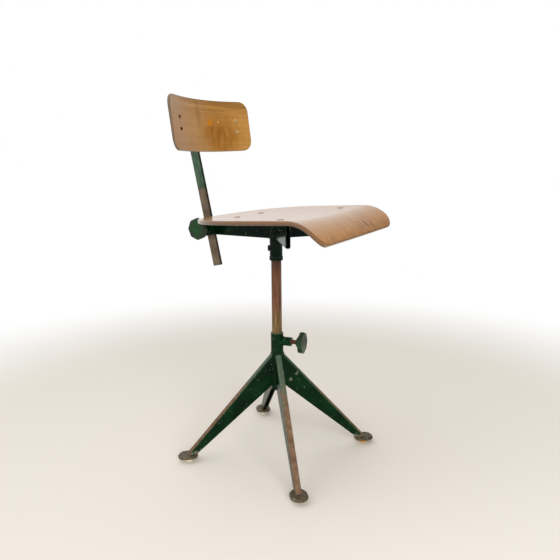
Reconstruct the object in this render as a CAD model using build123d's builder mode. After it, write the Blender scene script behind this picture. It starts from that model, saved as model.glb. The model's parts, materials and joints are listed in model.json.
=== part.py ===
from build123d import *
import os
from math import asin, cos, degrees, isclose, radians, sin, sqrt, tan

# A swivel workshop chair: a four-legged steel base, a sliding column, a folded steel seat frame,
# and a moulded plywood seat and backrest. The origin is on the floor under the column, +Z is up
# and the chair faces -Y, so +X is on the sitter's left.

os.makedirs("parts", exist_ok=True)

# Driving dimensions, in millimetres and degrees

# Clearances
running_gap = 0.08  # radial room of a round fit that turns or slides
fixed_gap = 0.05  # radial room of a round fit that stays put
slide_gap = 0.3  # room on each side of a flat sliding fit, and ahead of a clamp screw's tip
weld_gap = 0.5  # room under a strap for the weld that joins it to a front arm
head_gap = 0.03  # room under a screw's flat head on curved plywood
edge_match = 0.1  # how closely an edge's length names a corner to round

# Base: sleeve, legs, foot plates and glides
sleeve_diameter = 33.7
sleeve_top = 348.0
sleeve_length = 161.0
sleeve_rim = 0.8
leg_count = 4
leg_turn = 41.1
leg_width = 16.0
leg_sheet = 2.5
leg_fold = 4.0
leg_ridge_drop = 59.5  # from the sleeve's top down to the leg's ridge
leg_edge_rise = 13.0  # from the sleeve's bottom up to the leg's lower edge
leg_end_length = 26.0
leg_end_overlap = 5.0  # how far the leg's end reaches past the middle of its glide
foot_circle = 250.0
foot_plate_length = 54.0
foot_plate_width = 44.0
foot_plate_thickness = 7.0
foot_plate_bevel = 3.5
foot_plate_offset = 2.0
glide_diameter = 26.0
glide_height = 11.0
glide_edge = 3.0
glide_stud_diameter = 8.0
glide_stud_length = 6.0

# Clamp screws and knobs, alike for the height and for the backrest
screw_diameter = 12.0
screw_tip = 1.5
boss_diameter = 24.0
knob_width = 60.0  # across the corners
knob_sides = 8
knob_thickness = 12.0
knob_corner = 4.0
knob_edge = 2.0
knob_neck_diameter = 24.0
knob_neck_length = 8.0
knob_face_wall = 4.0
height_clamp_drop = 23.3  # from the sleeve's top down to the screw
height_clamp_turn = 9.8  # from straight ahead towards the sitter's left
height_boss_reach = 41.0
height_knob_reach = 77.0
bar_boss_length = 19.0
bar_knob_reach = 62.0

# Column and thrust collar
column_diameter = 26.9
column_wall = 2.6
column_length = 415.0
column_chamfer = 1.0
collar_diameter = 36.0
collar_height = 10.0

# Seat shell of moulded plywood
seat_height = 664.2  # top of the plywood over the column
seat_tilt = 2.69  # front edge up
seat_ply = 10.0
seat_dish_radius = 3700.0
seat_half_width = 223.6  # where the lip begins
seat_taper = 1.35
seat_rear_reach = 185.6
seat_rear_radius = 300.0
seat_rear_corner = 195.0
seat_bend_reach = 153.7
seat_bend_radius = 87.2
seat_bend_angle = 66.3
seat_lip_corner = 40.0

# Seat frame: hub, beam, arms and straps
frame_sheet = 2.5
frame_fold = 4.0
beam_depth = 45.7  # at the hub, below the straps
beam_width = 24.0
arm_width = 12.0
arm_spread = 51.0  # from straight ahead to either side
arm_past_bolt = 5.0
hub_diameter = 33.7
hub_drop = 47.5  # below the beam
hub_top_gap = 8.0  # below the plywood
column_top_gap = 14.0  # below the hub's top
strap_thickness = 5.0
strap_width = 30.0
strap_corner = 8.0
strap_end = 18.0  # past the bolts
front_bolt_side = 165.0
front_bolt_reach = 108.0
rear_bolt_side = 59.0
rear_bolt_reach = 81.0
seat_bolt_diameter = 8.0
seat_bolt_head = 16.0
seat_bolt_head_height = 3.5
seat_bolt_head_slope = 45.0
seat_bolt_tail = 3.0
bolt_hole_gap = 0.4
hex_sides = 6
nut_flats = 13.0
nut_height = 6.5
retaining_rise = 22.0  # above the hub's lower end
retaining_turn = 119.8
retaining_diameter = 8.0
retaining_head = 5.0
retaining_bite = 1.0  # how far the screw's tip reaches into the column's groove
groove_room = 0.5  # on each side of the screw in the groove

# Backrest bar and its clamp housing
bar_depth = 25.0
bar_width = 10.0
bar_edge = 1.0
bar_lean = 11.9
bar_seat_gap = 17.2  # between the seat's rear edge and the bar
bar_below_clamp = 109.0
bar_above_clamp = 277.0
housing_wall = 4.0
housing_height = 46.0
housing_corner = 3.0
housing_rise = 19.5  # from the beam's underside up to the clamp screw

# Backrest of moulded plywood, its strip and its bracket
back_lean = 7.63
back_ply = 8.0
back_radius = 474.5
back_length = 350.0
back_height = 137.2
back_corner = 30.0
pivot_behind = 52.0  # from the plywood's front face back to the pivot
pivot_above = 6.5  # above the middle of the plywood
pivot_diameter = 8.0
pivot_head_height = 5.3
pivot_tail = 3.0
strip_thickness = 4.0
strip_length = 280.0
strip_height = 46.0
strip_corner = 8.0
bracket_sheet = 3.0
bracket_eye = 13.0
bracket_height = 40.0
back_screw_side = 125.5
back_screw_heights = (15.3, -14.3)
back_screw_diameter = 5.0
back_screw_head = 9.5
back_screw_head_height = 2.6
back_screw_head_slope = 40.0
back_screw_tail = 2.0
back_nut_flats = 8.0
back_nut_height = 4.0

# Places worked out from the driving dimensions

sleeve_radius = sleeve_diameter / 2
sleeve_bottom = sleeve_top - sleeve_length
sleeve_bore = column_diameter / 2 + running_gap
foot_top = glide_height + foot_plate_thickness
knob_bore = knob_neck_length + knob_thickness - knob_face_wall

seat_plane = Plane(
    origin=(0, 0, seat_height),
    x_dir=(1, 0, 0),
    z_dir=(0, sin(radians(seat_tilt)), cos(radians(seat_tilt))),
)
dish_under = seat_dish_radius + seat_ply
strap_under = dish_under + strap_thickness
frame_top = seat_height - (seat_ply + strap_thickness) / cos(radians(seat_tilt))
frame_bottom = frame_top - beam_depth
hub_radius = hub_diameter / 2
hub_bottom = frame_bottom - hub_drop
hub_top = frame_top - hub_top_gap
column_top = hub_top - column_top_gap
column_bottom = column_top - column_length
retaining_height = hub_bottom + retaining_rise
retaining_tip = column_diameter / 2 - retaining_bite

bar_clamp_height = frame_bottom + housing_rise
seat_rear_under = seat_height - seat_rear_reach * tan(radians(seat_tilt)) - seat_ply
bar_front_setback = seat_rear_reach + bar_seat_gap + bar_depth / 2 / cos(radians(bar_lean))
bar_setback = bar_front_setback - (seat_rear_under - bar_clamp_height) * tan(radians(bar_lean))
bar_plane = Plane(
    origin=(0, bar_setback, bar_clamp_height),
    x_dir=(1, 0, 0),
    z_dir=(0, sin(radians(bar_lean)), cos(radians(bar_lean))),
)
housing_depth = bar_depth + 2 * (slide_gap + housing_wall)

pivot_plane = Plane(
    origin=bar_plane.from_local_coords((0, 0, bar_above_clamp)),
    x_dir=(1, 0, 0),
    z_dir=(0, sin(radians(back_lean)), cos(radians(back_lean))),
)
back_plane = Plane(
    origin=pivot_plane.from_local_coords((0, -pivot_behind, -pivot_above)),
    x_dir=(1, 0, 0),
    z_dir=pivot_plane.z_dir,
)
cheek_inside = bar_width / 2 + slide_gap
cheek_outside = cheek_inside + bracket_sheet
web_front = back_ply + strip_thickness


def radial_plane(angle):
    """Upright plane through the column's axis: local x runs outwards, local y is up."""
    outward = (cos(radians(angle)), sin(radians(angle)), 0)
    across = (sin(radians(angle)), -cos(radians(angle)), 0)
    return Plane(origin=(0, 0, 0), x_dir=outward, z_dir=across)


def spoke_plane(angle, height):
    """Plane whose normal points outwards from the column's axis at a height."""
    outward = (cos(radians(angle)), sin(radians(angle)), 0)
    return Plane(origin=(0, 0, height), x_dir=(0, 0, 1), z_dir=outward)


def dish_plane(side, reach):
    """Plane on the seat's top face, square to its dish; reach is positive to the rear."""
    turn = side / seat_dish_radius
    rise = seat_dish_radius * (1 - cos(turn))
    foot = seat_plane.from_local_coords((seat_dish_radius * sin(turn), reach, rise))
    head = seat_plane.from_local_coords((0, reach, seat_dish_radius))
    return Plane(origin=foot, x_dir=seat_plane.y_dir, z_dir=head - foot)


def seat_section_plane(reach):
    """Plane square to the seat's length: local x is sideways, local y is up off the seat."""
    return Plane(
        origin=seat_plane.from_local_coords((0, reach, 0)),
        x_dir=seat_plane.x_dir,
        z_dir=-seat_plane.y_dir,
    )


def back_screw_plane(side, height):
    """Plane on the backrest's front face, square to its curve, facing the sitter."""
    turn = side / back_radius
    face = (back_radius * sin(turn), back_radius * (cos(turn) - 1), height)
    centre = back_plane.from_local_coords((0, -back_radius, height))
    origin = back_plane.from_local_coords(face)
    return Plane(origin=origin, x_dir=back_plane.z_dir, z_dir=centre - origin)


def edges_of_length(piece, length):
    """Edges whose length tells them apart, such as the corners of a plate."""
    return piece.edges().filter_by(lambda edge: isclose(edge.length, length, abs_tol=edge_match))


def write(piece, node):
    """Name a finished piece and write it as one file."""
    piece.part.label = node
    export_step(piece.part, f"parts/{node}.step")


# Base sleeve: a length of pipe that the column slides in, drilled for the clamp screw
height_clamp_plane = spoke_plane(height_clamp_turn - 90, sleeve_top - height_clamp_drop)

with BuildPart() as base_sleeve:
    with BuildSketch(Plane.XY.offset(sleeve_bottom)):
        Circle(sleeve_radius)
        Circle(sleeve_bore, mode=Mode.SUBTRACT)
    extrude(amount=sleeve_length)
    chamfer(base_sleeve.edges().group_by(Axis.Z)[-1], sleeve_rim)
    with BuildSketch(height_clamp_plane):
        Circle(screw_diameter / 2 + running_gap)
    extrude(amount=sleeve_diameter, mode=Mode.SUBTRACT)
write(base_sleeve, "base_sleeve")

# Clamp boss: a drilled round welded to the sleeve, coped to fit its curve
with BuildPart() as height_clamp_boss:
    with BuildSketch(height_clamp_plane):
        Circle(boss_diameter / 2)
        Circle(screw_diameter / 2 + running_gap, mode=Mode.SUBTRACT)
    extrude(amount=height_boss_reach)
    with BuildSketch(Plane.XY):
        Circle(sleeve_radius)
    extrude(amount=sleeve_top, mode=Mode.SUBTRACT)
write(height_clamp_boss, "height_clamp_boss")

# Legs: tapering channels folded from sheet, ridge up and open underneath, coped to the sleeve
leg_ridge_height = sleeve_top - leg_ridge_drop
leg_edge_height = sleeve_bottom + leg_edge_rise
leg_end_outer = foot_circle + leg_end_overlap
leg_end_inner = leg_end_outer - leg_end_length
ridge_slope = (leg_ridge_height - foot_top) / (leg_end_outer - sleeve_radius)
edge_slope = (leg_edge_height - foot_top) / (leg_end_inner - sleeve_radius)
leg_root = sqrt(sleeve_radius**2 - (leg_width / 2) ** 2)
ridge_root_height = foot_top + ridge_slope * (leg_end_outer - leg_root)
edge_root_height = foot_top + edge_slope * (leg_end_inner - leg_root)
ridge_length = (leg_end_outer - leg_root) * sqrt(1 + ridge_slope**2)
channel_drop = leg_sheet * sqrt(1 + ridge_slope**2)
channel_height = foot_top + ridge_slope * leg_end_outer - channel_drop

for number in range(1, leg_count + 1):
    leg_angle = leg_turn + (number - 1) * 360 / leg_count
    leg_plane = radial_plane(leg_angle)
    with BuildPart() as leg:
        with BuildSketch(leg_plane):
            with BuildLine():
                Polyline(
                    (leg_root, ridge_root_height),
                    (leg_end_outer, foot_top),
                    (leg_end_inner, foot_top),
                    (leg_root, edge_root_height),
                    close=True,
                )
            make_face()
        extrude(amount=leg_width / 2, both=True)
        fillet(edges_of_length(leg, ridge_length), leg_fold)
        with BuildSketch(leg_plane):
            with BuildLine():
                Polyline((0, 0), (channel_height / ridge_slope, 0), (0, channel_height), close=True)
            make_face()
        extrude(amount=leg_width / 2 - leg_sheet, both=True, mode=Mode.SUBTRACT)
        with BuildSketch(Plane.XY):
            Circle(sleeve_radius)
        extrude(amount=sleeve_top, mode=Mode.SUBTRACT)
    write(leg, f"leg_{number}")

    # Foot plate: an oval pressing under the leg's end, with a hole for the glide's stud
    foot_spot = radial_plane(leg_angle).from_local_coords((foot_circle, glide_height, 0))
    foot_plane = Plane(origin=foot_spot, x_dir=leg_plane.x_dir, z_dir=(0, 0, 1))
    with BuildPart() as foot_plate:
        with BuildSketch(foot_plane):
            with Locations((foot_plate_offset, 0)):
                SlotOverall(foot_plate_length, foot_plate_width)
        extrude(amount=foot_plate_thickness)
        chamfer(foot_plate.faces().sort_by(Axis.Z)[-1].edges(), foot_plate_bevel)
        with BuildSketch(foot_plane):
            Circle(glide_stud_diameter / 2 + fixed_gap)
        extrude(amount=glide_stud_length + fixed_gap, mode=Mode.SUBTRACT)
    write(foot_plate, f"foot_plate_{number}")

    # Glide: a turned plastic button with a stud up into the foot plate
    with BuildPart() as glide:
        with BuildSketch(foot_plane):
            Circle(glide_diameter / 2)
        extrude(amount=-glide_height)
        chamfer(glide.edges().group_by(Axis.Z)[0], glide_edge)
        with BuildSketch(foot_plane):
            Circle(glide_stud_diameter / 2)
        extrude(amount=glide_stud_length)
    write(glide, f"glide_{number}")


# Clamp screws and their eight-sided knobs
def clamp_screw(axis_plane, tip_reach, knob_reach):
    """Plain shank from its tip to the end of the knob's blind hole."""
    with BuildPart() as screw:
        with BuildSketch(axis_plane.offset(tip_reach)):
            Circle(screw_diameter / 2)
        extrude(amount=knob_reach - knob_face_wall - tip_reach)
        tip = screw.faces().sort_by(Axis(axis_plane.origin, axis_plane.z_dir))[0]
        chamfer(tip.edges(), screw_tip)
    return screw


def clamp_knob(axis_plane, knob_reach):
    """Eight-sided disc on a round neck, with a blind hole for the screw."""
    disc_start = knob_reach - knob_thickness
    neck_start = disc_start - knob_neck_length
    with BuildPart() as knob:
        with BuildSketch(axis_plane.offset(disc_start)) as outline:
            RegularPolygon(knob_width / 2, knob_sides)
            fillet(outline.vertices(), knob_corner)
        extrude(amount=knob_thickness)
        along = Axis(axis_plane.origin, axis_plane.z_dir)
        faces = knob.faces().sort_by(along)
        chamfer(faces[0].edges() + faces[-1].edges(), knob_edge)
        with BuildSketch(axis_plane.offset(neck_start)):
            Circle(knob_neck_diameter / 2)
        extrude(amount=knob_neck_length)
        with BuildSketch(axis_plane.offset(neck_start)):
            Circle(screw_diameter / 2 + fixed_gap)
        extrude(amount=knob_bore, mode=Mode.SUBTRACT)
    return knob


height_screw_tip = column_diameter / 2 + slide_gap
height_clamp_screw = clamp_screw(height_clamp_plane, height_screw_tip, height_knob_reach)
write(height_clamp_screw, "height_clamp_screw")
height_knob = clamp_knob(height_clamp_plane, height_knob_reach)
write(height_knob, "height_knob")

# Column: a pipe with a turned groove near its top for the hub's retaining screw
groove_depth = retaining_bite + slide_gap
groove_width = retaining_diameter + 2 * groove_room

with BuildPart() as column_tube:
    with BuildSketch(Plane.XY.offset(column_bottom)):
        Circle(column_diameter / 2)
        Circle(column_diameter / 2 - column_wall, mode=Mode.SUBTRACT)
    extrude(amount=column_length)
    chamfer(column_tube.edges().group_by(Axis.Z)[0], column_chamfer)
    with BuildSketch(Plane.XY.offset(retaining_height - groove_width / 2)):
        Circle(column_diameter / 2)
        Circle(column_diameter / 2 - groove_depth, mode=Mode.SUBTRACT)
    extrude(amount=groove_width, mode=Mode.SUBTRACT)
write(column_tube, "column_tube")

# Thrust collar: a ring fixed on the column, with the hub resting on it
with BuildPart() as thrust_collar:
    with BuildSketch(Plane.XY.offset(hub_bottom - collar_height)):
        Circle(collar_diameter / 2)
        Circle(column_diameter / 2 + fixed_gap, mode=Mode.SUBTRACT)
    extrude(amount=collar_height)
    chamfer(thrust_collar.edges().group_by(Axis.Z)[0], column_chamfer)
write(thrust_collar, "thrust_collar")

# Seat hub: a pipe that turns on the column, with a cross hole for its retaining screw
retaining_plane = spoke_plane(retaining_turn, retaining_height)

with BuildPart() as hub_tube:
    with BuildSketch(Plane.XY.offset(hub_bottom)):
        Circle(hub_radius)
        Circle(column_diameter / 2 + running_gap, mode=Mode.SUBTRACT)
    extrude(amount=hub_top - hub_bottom)
    with BuildSketch(retaining_plane):
        Circle(retaining_diameter / 2 + fixed_gap)
    extrude(amount=hub_diameter, mode=Mode.SUBTRACT)
write(hub_tube, "hub_tube")

with BuildPart() as hub_retaining_screw:
    with BuildSketch(retaining_plane.offset(retaining_tip)):
        Circle(retaining_diameter / 2)
    extrude(amount=hub_radius - retaining_tip)
    with BuildSketch(retaining_plane.offset(hub_radius)):
        RegularPolygon(nut_flats / 2, hex_sides, major_radius=False)
    extrude(amount=retaining_head)
write(hub_retaining_screw, "hub_retaining_screw")

# Rear beam: a trough folded from sheet, open at the top, from the hub to the clamp housing
beam_root = sqrt(hub_radius**2 - (beam_width / 2) ** 2)
housing_front_plane = Plane(
    origin=bar_plane.from_local_coords((0, -housing_depth / 2, 0)),
    x_dir=bar_plane.x_dir,
    z_dir=bar_plane.y_dir,
)


def frame_top_at(reach):
    """Height of the straps' underside on the chair's centre line; reach is positive to the rear."""
    return frame_top - reach * tan(radians(seat_tilt))


with BuildPart() as rear_beam:
    with BuildSketch(Plane.YZ):
        with BuildLine():
            Polyline(
                (beam_root, frame_bottom),
                (bar_setback, frame_bottom),
                (bar_setback, frame_top_at(bar_setback)),
                (beam_root, frame_top_at(beam_root)),
                close=True,
            )
        make_face()
    extrude(amount=beam_width / 2, both=True)
    fillet(rear_beam.edges().filter_by(Axis.Y).group_by(Axis.Z)[0], frame_fold)
    with BuildSketch(Plane.XY.offset(frame_bottom + frame_sheet)):
        Rectangle(beam_width - 2 * frame_sheet, 3 * bar_setback)
    extrude(amount=2 * beam_depth, mode=Mode.SUBTRACT)
    with BuildSketch(Plane.XY.offset(frame_bottom)):
        Circle(hub_radius)
    extrude(amount=2 * beam_depth, mode=Mode.SUBTRACT)
    split(bisect_by=housing_front_plane, keep=Keep.BOTTOM)
write(rear_beam, "rear_beam")

# Front arms: narrower troughs from the hub out to the ends of the front strap
arm_root = sqrt(hub_radius**2 - (arm_width / 2) ** 2)
arm_reach = (front_bolt_reach + arm_past_bolt) / cos(radians(arm_spread))
arm_under_strap = (front_bolt_reach - strap_width / 2) / cos(radians(arm_spread))


def arm_top_at(reach):
    """Height under the front strap along an arm, less the room for the weld."""
    side = reach * sin(radians(arm_spread))
    dish = strap_under - sqrt(strap_under**2 - side**2)
    return frame_top_at(-reach * cos(radians(arm_spread))) + dish - weld_gap


arm_top_slope = (arm_top_at(arm_reach) - arm_top_at(arm_under_strap)) / (arm_reach - arm_under_strap)
arm_top_root = arm_top_at(arm_reach) - arm_top_slope * (arm_reach - arm_root)

for arm_side, arm_turn in (("left", arm_spread), ("right", -arm_spread)):
    arm_plane = radial_plane(arm_turn - 90)
    with BuildPart() as front_arm:
        with BuildSketch(arm_plane):
            with BuildLine():
                Polyline(
                    (arm_root, frame_bottom),
                    (arm_reach, frame_bottom),
                    (arm_reach, arm_top_at(arm_reach)),
                    (arm_root, arm_top_root),
                    close=True,
                )
            make_face()
        extrude(amount=arm_width / 2, both=True)
        arm_axis = Axis((0, 0, 0), arm_plane.x_dir)
        fillet(front_arm.edges().filter_by(arm_axis).group_by(Axis.Z)[0], frame_fold)
        with BuildSketch(Plane(origin=(0, 0, frame_bottom + frame_sheet), x_dir=arm_plane.x_dir)):
            Rectangle(3 * arm_reach, arm_width - 2 * frame_sheet)
        extrude(amount=2 * beam_depth, mode=Mode.SUBTRACT)
        with BuildSketch(Plane.XY.offset(frame_bottom)):
            Circle(hub_radius)
        extrude(amount=2 * beam_depth, mode=Mode.SUBTRACT)
    write(front_arm, f"front_arm_{arm_side}")


# Straps: flat bars bent to the seat's dish, which carry the plywood
def dish_band(inner_radius, thickness, half_width):
    """Band between two arcs of the seat's dish, about the section plane's upright axis."""
    half_turn = degrees(asin(half_width / inner_radius))
    with BuildLine() as band:
        upper = CenterArc((0, seat_dish_radius), inner_radius, 270 - half_turn, 2 * half_turn)
        lower = CenterArc((0, seat_dish_radius), inner_radius + thickness, 270 - half_turn, 2 * half_turn)
        Line(upper @ 0, lower @ 0)
        Line(upper @ 1, lower @ 1)
    make_face(band.edges())


bolt_spots = {
    "front": [(-front_bolt_side, -front_bolt_reach), (front_bolt_side, -front_bolt_reach)],
    "rear": [(-rear_bolt_side, rear_bolt_reach), (rear_bolt_side, rear_bolt_reach)],
}

for end, spots in bolt_spots.items():
    strap_half = spots[1][0] + strap_end
    with BuildPart() as strap:
        with BuildSketch(seat_section_plane(spots[0][1])):
            dish_band(dish_under, strap_thickness, strap_half)
        extrude(amount=strap_width / 2, both=True)
        fillet(edges_of_length(strap, strap_thickness), strap_corner)
        with Locations(*[dish_plane(*spot) for spot in spots]):
            Hole(seat_bolt_diameter / 2 + bolt_hole_gap)
    write(strap, f"{end}_strap")

# Clamp housing: a drilled steel block with a slot that the backrest bar slides in
bar_clamp_plane = Plane(origin=bar_plane.origin, x_dir=(0, 0, 1), z_dir=(-1, 0, 0))

with BuildPart() as bar_clamp_housing:
    with BuildSketch(bar_plane.offset(-housing_height / 2)) as section:
        Rectangle(beam_width, housing_depth)
        fillet(section.vertices().group_by(Axis.Y)[-1], housing_corner)
        Rectangle(bar_width + 2 * slide_gap, bar_depth + 2 * slide_gap, mode=Mode.SUBTRACT)
    extrude(amount=housing_height)
    with BuildSketch(bar_clamp_plane):
        Circle(screw_diameter / 2 + running_gap)
    extrude(amount=beam_width, mode=Mode.SUBTRACT)
write(bar_clamp_housing, "bar_clamp_housing")

with BuildPart() as bar_clamp_boss:
    with BuildSketch(bar_clamp_plane.offset(beam_width / 2)):
        Circle(boss_diameter / 2)
        Circle(screw_diameter / 2 + running_gap, mode=Mode.SUBTRACT)
    extrude(amount=bar_boss_length)
write(bar_clamp_boss, "bar_clamp_boss")

bar_screw_tip = bar_width / 2 + slide_gap
bar_clamp_screw = clamp_screw(bar_clamp_plane, bar_screw_tip, bar_knob_reach)
write(bar_clamp_screw, "bar_clamp_screw")
bar_knob = clamp_knob(bar_clamp_plane, bar_knob_reach)
write(bar_knob, "bar_knob")

# Seat shell: plywood moulded to a shallow dish across and a turned-down lip in front
seat_bend_plane = seat_section_plane(-seat_bend_reach)
seat_side_rise = seat_dish_radius - sqrt(seat_dish_radius**2 - seat_half_width**2)
seat_front = seat_bend_reach + seat_bend_radius + seat_side_rise + seat_ply
seat_taper_slope = tan(radians(seat_taper))
rear_half_width = seat_half_width - (seat_bend_reach + seat_rear_reach) * seat_taper_slope
front_half_width = seat_half_width + (seat_front - seat_bend_reach) * seat_taper_slope
rear_sagitta = seat_rear_radius - sqrt(seat_rear_radius**2 - rear_half_width**2)
seat_blank_half = front_half_width + seat_ply

with BuildPart() as seat_shell:
    with BuildSketch(seat_bend_plane) as seat_section:
        dish_band(seat_dish_radius, seat_ply, seat_blank_half)
    extrude(amount=-(seat_bend_reach + seat_rear_reach))
    bend_centre = seat_plane.from_local_coords((0, -seat_bend_reach, -seat_bend_radius))
    revolve(seat_section.sketch, axis=Axis(bend_centre, (1, 0, 0)), revolution_arc=seat_bend_angle)
    with BuildSketch(seat_plane) as outline:
        with BuildLine():
            Polyline(
                (rear_half_width, seat_rear_reach - rear_sagitta),
                (front_half_width, -seat_front),
                (-front_half_width, -seat_front),
                (-rear_half_width, seat_rear_reach - rear_sagitta),
            )
            RadiusArc(
                (-rear_half_width, seat_rear_reach - rear_sagitta),
                (rear_half_width, seat_rear_reach - rear_sagitta),
                seat_rear_radius,
            )
        make_face()
        fillet(outline.vertices().group_by(Axis.Y)[-1], seat_rear_corner)
    extrude(amount=seat_front, both=True, mode=Mode.INTERSECT)
    fillet(edges_of_length(seat_shell, seat_ply).group_by(Axis.Z)[0], seat_lip_corner)
    with Locations(*[dish_plane(*spot) for spots in bolt_spots.values() for spot in spots]):
        Hole(seat_bolt_diameter / 2 + bolt_hole_gap)
write(seat_shell, "seat_shell")

# Seat bolts and nuts: low coned heads on the plywood, nuts under the straps
bolt_grip = seat_ply + strap_thickness

with BuildPart() as seat_bolts:
    for spots in bolt_spots.values():
        for spot in spots:
            bolt_plane = dish_plane(*spot).offset(head_gap)
            with BuildSketch(bolt_plane):
                Circle(seat_bolt_head / 2)
            extrude(amount=seat_bolt_head_height, taper=seat_bolt_head_slope)
            with BuildSketch(bolt_plane):
                Circle(seat_bolt_diameter / 2)
            extrude(amount=-(bolt_grip + nut_height + seat_bolt_tail))
write(seat_bolts, "seat_bolts")

with BuildPart() as seat_nuts:
    for spots in bolt_spots.values():
        for spot in spots:
            with BuildSketch(dish_plane(*spot).offset(-bolt_grip)):
                RegularPolygon(nut_flats / 2, hex_sides, major_radius=False)
                Circle(seat_bolt_diameter / 2 + fixed_gap, mode=Mode.SUBTRACT)
            extrude(amount=-nut_height)
write(seat_nuts, "seat_nuts")

# Backrest bar: flat steel standing on edge, rounded over at the pivot
bar_side_plane = Plane(origin=bar_plane.origin, x_dir=bar_plane.y_dir, z_dir=bar_plane.x_dir)

with BuildPart() as backrest_bar:
    with BuildSketch(bar_side_plane):
        with Locations((0, (bar_above_clamp - bar_below_clamp) / 2)):
            Rectangle(bar_depth, bar_above_clamp + bar_below_clamp)
        with Locations((0, bar_above_clamp)):
            Circle(bar_depth / 2)
            Circle(pivot_diameter / 2 + running_gap, mode=Mode.SUBTRACT)
    extrude(amount=bar_width / 2, both=True)
    bar_axis = Axis(bar_plane.origin, bar_plane.z_dir)
    chamfer(backrest_bar.edges().filter_by(bar_axis), bar_edge)
write(backrest_bar, "backrest_bar")

# Pivot bolt and nut: through the bracket's cheeks and the top of the bar
pivot_axis_plane = Plane(origin=pivot_plane.origin, x_dir=pivot_plane.y_dir, z_dir=(1, 0, 0))

with BuildPart() as pivot_bolt:
    with BuildSketch(pivot_axis_plane.offset(cheek_outside)):
        RegularPolygon(nut_flats / 2, hex_sides, major_radius=False)
    extrude(amount=pivot_head_height)
    with BuildSketch(pivot_axis_plane.offset(cheek_outside)):
        Circle(pivot_diameter / 2)
    extrude(amount=-(2 * cheek_outside + nut_height + pivot_tail))
write(pivot_bolt, "pivot_bolt")

with BuildPart() as pivot_nut:
    with BuildSketch(pivot_axis_plane.offset(-cheek_outside)):
        RegularPolygon(nut_flats / 2, hex_sides, major_radius=False)
        Circle(pivot_diameter / 2 + fixed_gap, mode=Mode.SUBTRACT)
    extrude(amount=-nut_height)
write(pivot_nut, "pivot_nut")

# Backrest bracket: a sheet folded to a fork, its web on the strip and its cheeks beside the bar
bracket_side_plane = Plane(origin=back_plane.origin, x_dir=back_plane.y_dir, z_dir=back_plane.x_dir)

with BuildPart() as backrest_bracket:
    with BuildSketch(bracket_side_plane):
        with Locations((web_front + bracket_sheet / 2, 0)):
            Rectangle(bracket_sheet, bracket_height)
        with Locations((pivot_behind, pivot_above)):
            Circle(bracket_eye)
        make_hull()
        with Locations((pivot_behind, pivot_above)):
            Circle(pivot_diameter / 2 + fixed_gap, mode=Mode.SUBTRACT)
    extrude(amount=cheek_outside, both=True)
    fork_depth = pivot_behind + bracket_eye - web_front
    with BuildSketch(back_plane.offset(-bracket_height)):
        with Locations((0, web_front + bracket_sheet + fork_depth / 2)):
            Rectangle(2 * cheek_inside, fork_depth)
    extrude(amount=2 * bracket_height, mode=Mode.SUBTRACT)
write(backrest_bracket, "backrest_bracket")


# Backrest strip and shell: both curved round the sitter's back about one axis
def back_sector(inner_radius, thickness, length):
    """Sector between two arcs round the backrest's axis of curvature."""
    half_turn = degrees(length / 2 / back_radius)
    with BuildLine() as sector:
        front = CenterArc((0, -back_radius), inner_radius, 90 - half_turn, 2 * half_turn)
        rear = CenterArc((0, -back_radius), inner_radius + thickness, 90 - half_turn, 2 * half_turn)
        Line(front @ 0, rear @ 0)
        Line(front @ 1, rear @ 1)
    make_face(sector.edges())


back_screw_planes = [
    back_screw_plane(side, height)
    for side in (-back_screw_side, back_screw_side)
    for height in back_screw_heights
]

with BuildPart() as backrest_strip:
    with BuildSketch(back_plane.offset(-strip_height / 2)):
        back_sector(back_radius + back_ply, strip_thickness, strip_length)
    extrude(amount=strip_height)
    fillet(edges_of_length(backrest_strip, strip_thickness), strip_corner)
    with Locations(*back_screw_planes):
        Hole(back_screw_diameter / 2 + bolt_hole_gap)
write(backrest_strip, "backrest_strip")

with BuildPart() as backrest_shell:
    with BuildSketch(back_plane.offset(-back_height / 2)):
        back_sector(back_radius, back_ply, back_length)
    extrude(amount=back_height)
    fillet(edges_of_length(backrest_shell, back_ply), back_corner)
    with Locations(*back_screw_planes):
        Hole(back_screw_diameter / 2 + bolt_hole_gap)
write(backrest_shell, "backrest_shell")

# Backrest screws and nuts: low coned heads on the plywood, nuts behind the strip
back_grip = back_ply + strip_thickness

with BuildPart() as backrest_screws:
    for screw_plane in back_screw_planes:
        with BuildSketch(screw_plane.offset(head_gap)):
            Circle(back_screw_head / 2)
        extrude(amount=back_screw_head_height, taper=back_screw_head_slope)
        with BuildSketch(screw_plane.offset(head_gap)):
            Circle(back_screw_diameter / 2)
        extrude(amount=-(back_grip + back_nut_height + back_screw_tail))
write(backrest_screws, "backrest_screws")

with BuildPart() as backrest_nuts:
    for screw_plane in back_screw_planes:
        with BuildSketch(screw_plane.offset(-back_grip)):
            RegularPolygon(back_nut_flats / 2, hex_sides, major_radius=False)
            Circle(back_screw_diameter / 2 + fixed_gap, mode=Mode.SUBTRACT)
        extrude(amount=-back_nut_height)
write(backrest_nuts, "backrest_nuts")
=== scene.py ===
import functools
import json

import bmesh
import bpy
import numpy as np
from mathutils import Matrix, Vector


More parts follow.
